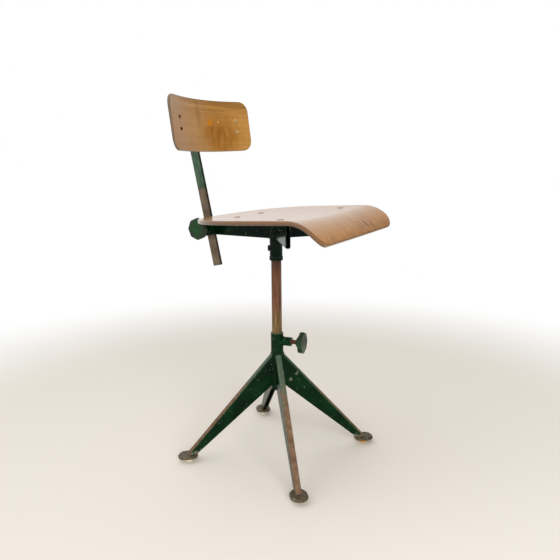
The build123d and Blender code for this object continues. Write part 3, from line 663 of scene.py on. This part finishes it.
def veneer_grain(add, sheet, along):
    """Beech veneer on the flat sheet: broad streaks along the grain (0 for x, 1 for y) and the fine
    short flecks of its rays, drawn twice as coarse as real so that they show."""
    streak = (0.009, 0.25)
    fleck = (0.0022, 0.014)
    layers = []
    for width, length in (streak, fleck):
        scale = (1 / length, 1 / width, 1) if along == 0 else (1 / width, 1 / length, 1)
        stretched = add("Mapping", {"Vector": sheet, "Scale": scale})
        noise = add("TexNoise", {"Vector": stretched, "Scale": 1.0, "Detail": 5.0, "Roughness": 0.6,
                                 "Distortion": 0.3})
        layers.append(add("MapRange", {0: noise, 1: 0.3, 2: 0.7}))
    return layers


def sheet_spot(add, sheet, centre, half_size, soft):
    """1 inside an ellipse on the top face of the sheet and 0 outside, fading over soft of its size."""
    scale = (1 / half_size[0], 1 / half_size[1], 0)
    location = (-centre[0] / half_size[0], -centre[1] / half_size[1], 0)
    local = add("Mapping", {"Vector": sheet, "Location": location, "Scale": scale})
    distance = add("VectorMath", {0: local}, operation="LENGTH")
    inside = add("MapRange", {0: distance, 1: 1 + soft, 2: 1 - soft}, interpolation_type="SMOOTHSTEP")
    depth = add("Attribute", {}, attribute_name="depth").node.outputs["Fac"]
    top = add("Math", {0: depth, 1: 0.5}, operation="LESS_THAN")
    return add("Math", {0: inside, 1: top}, operation="MULTIPLY")


def sawn_edge(add, colour, plies, dark, pale):
    """Lays the cut plies over a face's colour: dark and pale bands by depth on the sawn edge, each
    darker than the one above, as painted shade towards the lower or rear face."""
    face_share = 0.47
    cut_share = 0.43
    depth = add("Attribute", {}, attribute_name="depth").node.outputs["Fac"]
    phase = add("Math", {0: depth, 1: np.pi * plies}, operation="MULTIPLY")
    wave = add("Math", {0: phase}, operation="SINE")
    # Painted shade: besides the ply bands, the edge darkens steadily with depth.
    below = add("Math", {0: depth, 1: -2.0, 2: wave}, operation="MULTIPLY_ADD")
    ply_band_and_shade = add("MapRange", {0: below, 1: -2.2, 2: 0.6})
    wood = add("Mix", {0: ply_band_and_shade, 6: dark, 7: pale})
    centred = add("Math", {0: depth, 1: 0.5}, operation="SUBTRACT")
    away = add("Math", {0: centred}, operation="ABSOLUTE")
    cut = add("MapRange", {0: away, 1: face_share, 2: cut_share})
    return add("Mix", {0: cut, 6: colour, 7: wood})


def seat_surface(add, shader, place):
    """Lacquered beech, honey brown, with grain running front to back. The lacquer shines at a low
    angle. Grime darkens the lip's end, a band along the sawn edge is darker, and the lip is scored
    where heels caught it."""
    score_width = 0.0040
    score_length = 0.035
    heel_place, heel_half_size = (0.075, 0.232), (0.06, 0.026)
    soil_size = 0.025
    soil_reach = 0.06
    edge_dark_from, edge_dark_full = 0.006, 0.001
    ray_depth = 0.0002
    plies = 9
    sheet = add("UVMap", {}, uv_map="sheet")
    streaks, flecks = veneer_grain(add, sheet, along=1)
    wood = add("Mix", {0: streaks, 6: "#a4692a", 7: "#cb903f"})
    ray = add("MapRange", {0: flecks, 4: 0.22})
    fine = add("Mix", {0: ray, 6: wood, 7: "#7b4f26"})
    scale = (1 / score_width, 1 / score_length, 1)
    stretched = add("Mapping", {"Vector": sheet, "Scale": scale})
    scores = add("TexNoise", {"Vector": stretched, "Scale": 1.0, "Detail": 3.0})
    score = add("MapRange", {0: scores, 1: 0.54, 2: 0.60, 4: 0.95})
    heel = sheet_spot(add, sheet, heel_place, heel_half_size, soft=0.5)
    scored = add("Math", {0: score, 1: heel}, operation="MULTIPLY")
    spot = add("SeparateXYZ", {0: sheet}).node.outputs
    lip = add("MapRange", {0: spot["Y"], 1: SEAT_LIP_END - soil_reach, 2: SEAT_LIP_END})
    soil = add("TexNoise", {"Vector": sheet, "Scale": 1 / soil_size, "Detail": 6.0})
    dirt = add("Math", {0: lip, 1: soil}, operation="MULTIPLY")
    dull = add("MapRange", {0: dirt, 1: 0.25, 2: 0.65, 4: 0.55})
    dirty = add("Mix", {0: dull, 6: fine, 7: "#6b4322"})
    marked = add("Mix", {0: scored, 6: dirty, 7: "#3a2212"})
    inset = add("Attribute", {}, attribute_name="inset").node.outputs["Fac"]
    # A band along the sawn edge is darker.
    rim = add("MapRange", {0: inset, 1: edge_dark_from, 2: edge_dark_full, 4: 0.8})
    soiled = add("Mix", {0: rim, 6: marked, 7: "#553416"})
    colour = sawn_edge(add, soiled, plies, "#301d0a", "#82561f")
    gloss = add("MapRange", {0: streaks, 3: 0.42, 4: 0.34})
    bump = add("Bump", {"Height": flecks, "Strength": 0.1, "Distance": ray_depth})
    shader.inputs["Coat Weight"].default_value = 0.75
    shader.inputs["Coat Roughness"].default_value = 0.14
    return colour, gloss, bump


seat_beech = new_finish("lacquered_seat_beech", seat_surface)
seat = plywood_shell("seat_plywood", seat_beech, seat_outline(), SEAT_MIDDLE, SEAT_PLY, seat_place)
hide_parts("seat_shell")
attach(seat, "seat")


# Seat bolts: four low mushroom heads on the plywood, with their shanks down through the straps and
# their nuts below. They are turned steel, browned and polished by clothes. Their pale heads are
# partly a painted sheen, and below the plywood they are painted the frame's dark green as painted
# shade.
def turned(radii, heights, centre, axis, slot_turn=None):
    """Rings of a turned piece: each profile point's radius about the axis and height along it. With a
    slot_turn, a screwdriver slot at that turn is sunk into what lies above height 0."""
    sides = 48
    slot_half_width = 0.0006
    slot_depth = 0.0011
    angle = np.linspace(0, 2 * np.pi, sides, endpoint=False)[None]
    radii, heights = np.array(radii)[:, None], np.array(heights)[:, None] + np.zeros_like(angle)
    if slot_turn is not None:
        beside = np.abs(radii * np.sin(angle - slot_turn))
        in_slot = (beside < slot_half_width) & (heights > slot_depth)
        heights = np.where(in_slot, heights - slot_depth, heights)
    first, second = axes_across(axis)
    section = np.cos(angle)[..., None] * first + np.sin(angle)[..., None] * second
    return centre + heights[..., None] * axis + radii[..., None] * section


def domed_fastener(head_radius, head_height, shank_radius, shank_length, place, spot, slot_turn=None):
    """A domed head and its shank, standing on a pressed sheet at a spot of the flat one: an ellipse
    from the middle of the dome to its thin edge, in under the head, and down the shank to its
    chamfered end. The sheet's own direction there comes from a probe a little below its face."""
    rim = 0.0006
    gap = 0.00003
    chamfer = 0.0008
    first_ring = 0.04
    dome_rings = 24
    probe = 0.001
    dome = np.linspace(first_ring, np.pi / 2, dome_rings)
    radii = [*head_radius * np.sin(dome), head_radius, shank_radius, shank_radius, shank_radius - chamfer]
    heights = [*rim + (head_height - rim) * np.cos(dome), gap, gap, chamfer - shank_length, -shank_length]
    foot, below = place(*np.array(spot), np.array(0.0)), place(*np.array(spot), np.array(probe))
    axis = (foot - below) / np.linalg.norm(foot - below)
    return turned(radii, heights, foot, axis, slot_turn)


SEAT_BOLT_SPOTS = ((-0.165, 0.108), (0.165, 0.108), (-0.059, -0.081), (0.059, -0.081))
SEAT_BOLT = {"head_radius": 0.008, "head_height": 0.0018, "shank_radius": 0.004, "shank_length": 0.0245}
# Painted sheen: the pale tones stand in partly for the shine of the heads.
bolt_steel_sheen_and_shade = steel_finish("rubbed_bolt_steel_and_sheen", "#8f7a66", "#cfbda8", patch_size=0.006, roughness=0.30,
                          metallic=0.6, painted_shade_below=SEAT_HEIGHT - SEAT_PLY)
seat_bolts = skin("seat_bolt_set", bolt_steel_sheen_and_shade, *[
    domed_fastener(**SEAT_BOLT, place=seat_place, spot=spot) for spot in SEAT_BOLT_SPOTS
])
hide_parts("seat_bolts")
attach(seat_bolts, "seat")
# The nuts take the frame's enamel, painted dark as painted shade.
paint(shade_darkened_frame_enamel, "seat_nuts")


# Backrest bar: flat steel standing on edge, pinned to the backrest at its top. Its enamel ends at a
# ragged line where the bar slides into the clamp, and below that it is bare and brown.
def bar_surface(add, shader, place):
    """Greyed enamel above, bare brown steel below, with painted shade darkening the narrow faces."""
    paint_end = 0.726
    ragged = 0.035
    patch_size = 0.018
    patch_depth = 0.0004
    patch = add("TexNoise", {"Vector": place, "Scale": 1 / patch_size, "Detail": 8.0})
    tone = add("MapRange", {0: patch, 1: 0.3, 2: 0.7})
    spot = add("SeparateXYZ", {0: place}).node.outputs
    wander = add("Math", {0: patch, 1: ragged, 2: spot["Z"]}, operation="MULTIPLY_ADD")
    painted = add("MapRange", {0: wander, 1: paint_end + ragged * 0.47, 2: paint_end + ragged * 0.53})
    steel = add("Mix", {0: tone, 6: "#463828", 7: "#665744"})
    green = add("Mix", {0: tone, 6: "#1b3624", 7: "#3f5842"})
    flat = add("Mix", {0: painted, 6: steel, 7: green})
    side = add("NewGeometry", {}).node.outputs["Normal"]
    facing = add("SeparateXYZ", {0: side}).node.outputs
    narrow = add("Math", {0: facing["X"]}, operation="ABSOLUTE")
    # Painted shade: the narrow faces are darkened towards near black.
    narrow_face_shade = add("MapRange", {0: narrow, 1: 0.8, 2: 0.4, 4: 0.8})
    colour = add("Mix", {0: narrow_face_shade, 6: flat, 7: "#161510"})
    gloss = add("MapRange", {0: painted, 3: 0.5, 4: 0.36})
    bump = add("Bump", {"Height": patch, "Strength": 0.2, "Distance": patch_depth})
    shader.inputs["Specular IOR Level"].default_value = 0.35
    return colour, gloss, bump


paint(new_finish("half_bare_bar_steel", bar_surface), "backrest_bar")

# Backrest fittings: a forked bracket, pinned to the bar by a bolt and nut and welded to a steel strip
# behind the plywood. The bracket and strip are enamelled, the bolt and nuts are rusty.
# The bracket and strip take the frame's enamel, painted dark as painted shade.
paint(shade_darkened_frame_enamel, "backrest_bracket", "backrest_strip")
paint(rusty_steel, "pivot_bolt", "pivot_nut", "backrest_nuts")

# Backrest: a smaller sheet of the same plywood, pressed to part of a cylinder round the sitter's back
# with its grain running across, and rounded at its corners.
BACK_PLACE = (0.0, 0.21555, 0.894492)
BACK_LEAN = np.radians(7.63)
BACK_PLY = 0.008
BACK_RADIUS = 0.4745
BACK_HALF_LENGTH = 0.175
BACK_HALF_HEIGHT = 0.0686
BACK_CORNER = 0.030


def back_outline():
    """A rectangle with round corners on the flat sheet: each corner's arc, then the straight edge
    that follows it."""
    corner_count, straight_count = 24, 40
    half_x, half_y = BACK_HALF_LENGTH - BACK_CORNER, BACK_HALF_HEIGHT - BACK_CORNER
    corners = np.array([(half_x, half_y), (-half_x, half_y), (-half_x, -half_y), (half_x, -half_y)])
    stretches = []
    for quarter, corner in enumerate(corners):
        turn = quarter * np.pi / 2
        out = BACK_CORNER * np.array([np.cos(turn + np.pi / 2), np.sin(turn + np.pi / 2)])
        following = corners[(quarter + 1) % 4]
        stretches.append(arc(corner, BACK_CORNER, turn, turn + np.pi / 2, corner_count))
        stretches.append(np.linspace(corner + out, following + out, straight_count, endpoint=False))
    return np.concatenate(stretches)


def back_place(x, y, depth):
    """Where a point of the flat sheet lies on the backrest: x wraps round the cylinder, y runs up it
    and depth goes back from its front face, all leaning back."""
    turn = x / BACK_RADIUS
    radius = BACK_RADIUS + depth
    behind = radius * np.cos(turn) - BACK_RADIUS
    return np.stack([
        BACK_PLACE[0] + radius * np.sin(turn),
        BACK_PLACE[1] + behind * np.cos(BACK_LEAN) + y * np.sin(BACK_LEAN),
        BACK_PLACE[2] - behind * np.sin(BACK_LEAN) + y * np.cos(BACK_LEAN),
    ], axis=-1)


def back_surface(add, shader, place):
    """Lacquered beech, greyed on the sitter's right where hands hold it and amber to the left, where
    thick lacquer ran down. Its streaks are darker near the top. A round knot was plugged with filler,
    something left a dark upright rub, and a small nick is pale."""
    cloud_size = 0.05
    cloud_drift = 0.12
    grey_end, amber_end = -0.08, 0.10
    run_width, run_length = 0.018, 0.040
    runs_place, runs_half_size = (0.06, -0.025), (0.075, 0.055)
    dark_from, dark_full = 0.015, 0.06
    rub_place, rub_half_size = (-0.027, 0.028), (0.008, 0.035)
    plug_place, plug_half_size = (0.0213, 0.0093), (0.011, 0.0095)
    nick_place, nick_half_size = (0.0564, 0.0116), (0.003, 0.0024)
    edge_dark_from, edge_dark_full = 0.003, 0.0004
    ray_depth = 0.0002
    plies = 7
    sheet = add("UVMap", {}, uv_map="sheet")
    streaks, flecks = veneer_grain(add, sheet, along=0)
    cloud = add("TexNoise", {"Vector": sheet, "Scale": 1 / cloud_size, "Detail": 4.0})
    across = add("SeparateXYZ", {0: sheet}).node.outputs
    wander = add("Math", {0: cloud, 1: cloud_drift, 2: across["X"]}, operation="MULTIPLY_ADD")
    warmth = add("MapRange", {0: wander, 1: grey_end, 2: amber_end})
    base = add("Mix", {0: warmth, 6: "#c09a70", 7: "#c8944a"})
    thick = sheet_spot(add, sheet, runs_place, runs_half_size, soft=0.8)
    runs = add("Mapping", {"Vector": sheet, "Scale": (1 / run_width, 1 / run_length, 1)})
    stain = add("TexNoise", {"Vector": runs, "Scale": 1.0, "Detail": 5.0})
    pool = add("Math", {0: thick, 1: stain}, operation="MULTIPLY")
    amber = add("MapRange", {0: pool, 1: 0.12, 2: 0.6})
    honey = add("Mix", {0: amber, 6: base, 7: "#a0640f"})
    most = add("MapRange", {0: warmth, 3: 0.45, 4: 1.2})
    upper = add("MapRange", {0: across["Y"], 1: dark_from, 2: dark_full, 3: 0.35, 4: most})
    dark = add("Math", {0: streaks, 1: upper}, operation="MULTIPLY")
    wood = add("Mix", {0: dark, 6: honey, 7: "#7a5127"})
    ray = add("MapRange", {0: flecks, 4: 0.35})
    fine = add("Mix", {0: ray, 6: wood, 7: "#74502c"})
    rub = sheet_spot(add, sheet, rub_place, rub_half_size, soft=0.9)
    faint = add("Math", {0: rub, 1: 0.3}, operation="MULTIPLY")
    rubbed = add("Mix", {0: faint, 6: fine, 7: "#4e3a26"})
    plug = sheet_spot(add, sheet, plug_place, plug_half_size, soft=0.12)
    filled = add("Mix", {0: plug, 6: rubbed, 7: "#be7714"})
    nick = sheet_spot(add, sheet, nick_place, nick_half_size, soft=0.5)
    nicked = add("Mix", {0: nick, 6: filled, 7: "#cfa765"})
    inset = add("Attribute", {}, attribute_name="inset").node.outputs["Fac"]
    # A band along the sawn edge is darker.
    rim = add("MapRange", {0: inset, 1: edge_dark_from, 2: edge_dark_full, 4: 0.4})
    soiled = add("Mix", {0: rim, 6: nicked, 7: "#5d4c3c"})
    colour = sawn_edge(add, soiled, plies, "#43362a", "#80674c")
    gloss = add("MapRange", {0: streaks, 3: 0.46, 4: 0.36})
    bump = add("Bump", {"Height": flecks, "Strength": 0.1, "Distance": ray_depth})
    shader.inputs["Coat Weight"].default_value = 0.4
    shader.inputs["Coat Roughness"].default_value = 0.22
    return colour, gloss, bump


back_beech = new_finish("lacquered_backrest_beech", back_surface)
backrest = plywood_shell("backrest_plywood", back_beech, back_outline(), np.zeros(2), BACK_PLY,
                         back_place)
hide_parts("backrest_shell")
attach(backrest, "backrest")

# Backrest screws: four slotted round heads in front, with their shanks through the strip. Two are of
# browned steel, and the two on the sitter's left are of brass, whose pale tone is partly a painted
# glint.
BACK_SCREW_SPOTS = ((-0.1255, 0.0153), (-0.1255, -0.0143), (0.1255, 0.0153), (0.1255, -0.0143))
BACK_SCREW = {"head_radius": 0.00475, "head_height": 0.0028, "shank_radius": 0.0025,
              "shank_length": 0.018}
SLOT_TURNS = np.radians((20, 75, 130, 50))
browned_steel = steel_finish("browned_screw_steel", "#33241a", "#6f553c", patch_size=0.004,
                             roughness=0.34, metallic=0.7)
# Painted glint: the pale brass tone stands in partly for highlights on the heads.
brass_with_painted_glint = steel_finish("brass_screw_with_painted_glint", "#4a3216", "#f0d098", patch_size=0.003,
                            roughness=0.42, metallic=0.1)
back_screws = skin("backrest_screw_set", browned_steel, *[
    domed_fastener(**BACK_SCREW, place=back_place, spot=spot, slot_turn=turn)
    for spot, turn in zip(BACK_SCREW_SPOTS, SLOT_TURNS)
])
back_screws.data.materials.append(brass_with_painted_glint)
screw_faces = back_screws.data.polygons
screw_faces.foreach_set("material_index", np.repeat((0, 1), len(screw_faces) // 2))
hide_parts("backrest_screws")
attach(back_screws, "backrest")

# Bracket welds: a bead down each cheek of the bracket, where it stands on the strip behind the
# plywood. They are enamelled with it.
CHEEK_HALF_WIDTH = 0.0083
STRIP_BACK = 0.012
BRACKET_HALF_HEIGHT = 0.019
CHEEK_COUNT = 60
cheek_rise = np.linspace(-BRACKET_HALF_HEIGHT, BRACKET_HALF_HEIGHT, CHEEK_COUNT)
cheek_welds = []
for cheek in (-1, 1):
    path = back_place(np.full_like(cheek_rise, cheek * CHEEK_HALF_WIDTH), cheek_rise,
                      np.full_like(cheek_rise, STRIP_BACK))
    cheek_welds.append(bead(path, np.broadcast_to((float(cheek), 0.0, 0.0), path.shape)))
bracket_welds = skin("bracket_welds", weld_enamel, *cheek_welds)
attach(bracket_welds, "backrest")

# Floor: a plain pale sheet that takes the chair's shadow and fades out to a white backdrop all round.
# It has no edge or line in sight.
FLOOR_HALF_SIZE = 8.0
FLOOR_FADE = (0.9, 1.9)
floor_mesh = bpy.data.meshes.new("floor")
floor_mesh.from_pydata([(x * FLOOR_HALF_SIZE, y * FLOOR_HALF_SIZE, 0)
                        for x, y in ((-1, -1), (1, -1), (1, 1), (-1, 1))], [], [(0, 1, 2, 3)])
floor = bpy.data.objects.new("floor", floor_mesh)
bpy.context.collection.objects.link(floor)
floor_material = bpy.data.materials.new("pale_floor")
floor_material.use_nodes = True
floor_tree = floor_material.node_tree
add_to_floor = functools.partial(add_node, floor_tree)
floor_shader = floor_tree.nodes["Principled BSDF"]
floor_shader.inputs["Base Color"].default_value = linear("#ece5da")
floor_shader.inputs["Roughness"].default_value = 0.85
floor_place = add_to_floor("TexCoord", {}).node.outputs["Object"]
from_chair = add_to_floor("VectorMath", {0: floor_place}, operation="LENGTH")
far = add_to_floor("MapRange", {0: from_chair, 1: FLOOR_FADE[0], 2: FLOOR_FADE[1]},
                   interpolation_type="SMOOTHSTEP")
floor_rays = add_to_floor("LightPath", {}).node.outputs
not_diffuse = add_to_floor("Math", {0: 1.0, 1: floor_rays["Is Diffuse Ray"]}, operation="SUBTRACT")
fade = add_to_floor("Math", {0: far, 1: not_diffuse}, operation="MULTIPLY")
backdrop = add_to_floor("Emission", {"Color": "#ffffff", "Strength": 1.0})
blended = add_to_floor("MixShader", {0: fade, 1: floor_shader.outputs[0], 2: backdrop})
floor_tree.links.new(blended, floor_tree.nodes["Material Output"].inputs["Surface"])
floor.data.materials.append(floor_material)

# Studio light: a surround that is white to the camera, and to what mirrors it white on the side that
# the light comes from and dim on the other, a wide lamp above the bright side and a soft fill.
LIGHT_SIDE = (-0.055, 0.965, 0.259)
DIM_SIDE = 0.06
DIM_FROM, LIT_FROM = -0.5, 0.4
world = bpy.data.worlds.new("studio")
bpy.context.scene.world = world
world.use_nodes = True
sky = world.node_tree
add_to_sky = functools.partial(add_node, sky)
way = add_to_sky("TexCoord", {}).node.outputs["Generated"]
lit = add_to_sky("VectorMath", {0: way, 1: LIGHT_SIDE}, operation="DOT_PRODUCT")
room = add_to_sky("MapRange", {0: lit, 1: DIM_FROM, 2: LIT_FROM, 3: DIM_SIDE})
rays = add_to_sky("LightPath", {}).node.outputs
seen = add_to_sky("Math", {0: rays["Is Camera Ray"], 1: rays["Is Transmission Ray"]}, operation="MAXIMUM")
strength = add_to_sky("Math", {0: room, 1: seen}, operation="MAXIMUM")
sky.links.new(strength, sky.nodes["Background"].inputs["Strength"])
sky.nodes["Background"].inputs["Color"].default_value = linear("#ffffff")


def soft_lamp(name, place, target, size, power, glare=True):
    """A square area lamp that looks at a point. Without glare it lights a surface and leaves no
    reflection, as a lamp does behind crossed polarising filters."""
    light = bpy.data.lights.new(name, "AREA")
    light.size = size
    light.energy = power
    lamp = bpy.data.objects.new(name, light)
    bpy.context.collection.objects.link(lamp)
    lamp.location = place
    lamp.rotation_euler = (Vector(target) - Vector(place)).to_track_quat("-Z", "Y").to_euler()
    lamp.visible_camera = False
    lamp.visible_glossy = glare


soft_lamp("key_lamp", (-1.2, 1.8, 2.4), target=(0, 0, 0.5), size=2.4, power=12)
soft_lamp("fill_lamp", (-2.3, -2.25, 1.2), target=(0, 0, 0.6), size=2.4, power=112, glare=False)

# Camera: where the photograph was taken from, as fitted to the feet, the column and the outlines of
# the plywood. The focal length is in pixels of the square picture.
CAMERA_PLACE = (-1.2996, -0.756, 0.8166)
CAMERA_HEADING = np.arctan2(0.4974, 0.8675)
CAMERA_PITCH = np.radians(12.1875)
CAMERA_ROLL = np.radians(0.5742)
FOCAL_PIXELS = 580.24
IMAGE_PIXELS = 560
lens = bpy.data.cameras.new("camera")
lens.sensor_width = 36.0
lens.lens = lens.sensor_width * FOCAL_PIXELS / IMAGE_PIXELS
camera = bpy.data.objects.new("camera", lens)
bpy.context.collection.objects.link(camera)
heading = Matrix.Rotation(CAMERA_HEADING - np.pi / 2, 4, "Z")
pitch = Matrix.Rotation(np.pi / 2 - CAMERA_PITCH, 4, "X")
roll = Matrix.Rotation(-CAMERA_ROLL, 4, "Z")
camera.matrix_world = Matrix.Translation(CAMERA_PLACE) @ heading @ pitch @ roll
bpy.context.scene.camera = camera
bpy.context.scene.view_settings.view_transform = "Standard"
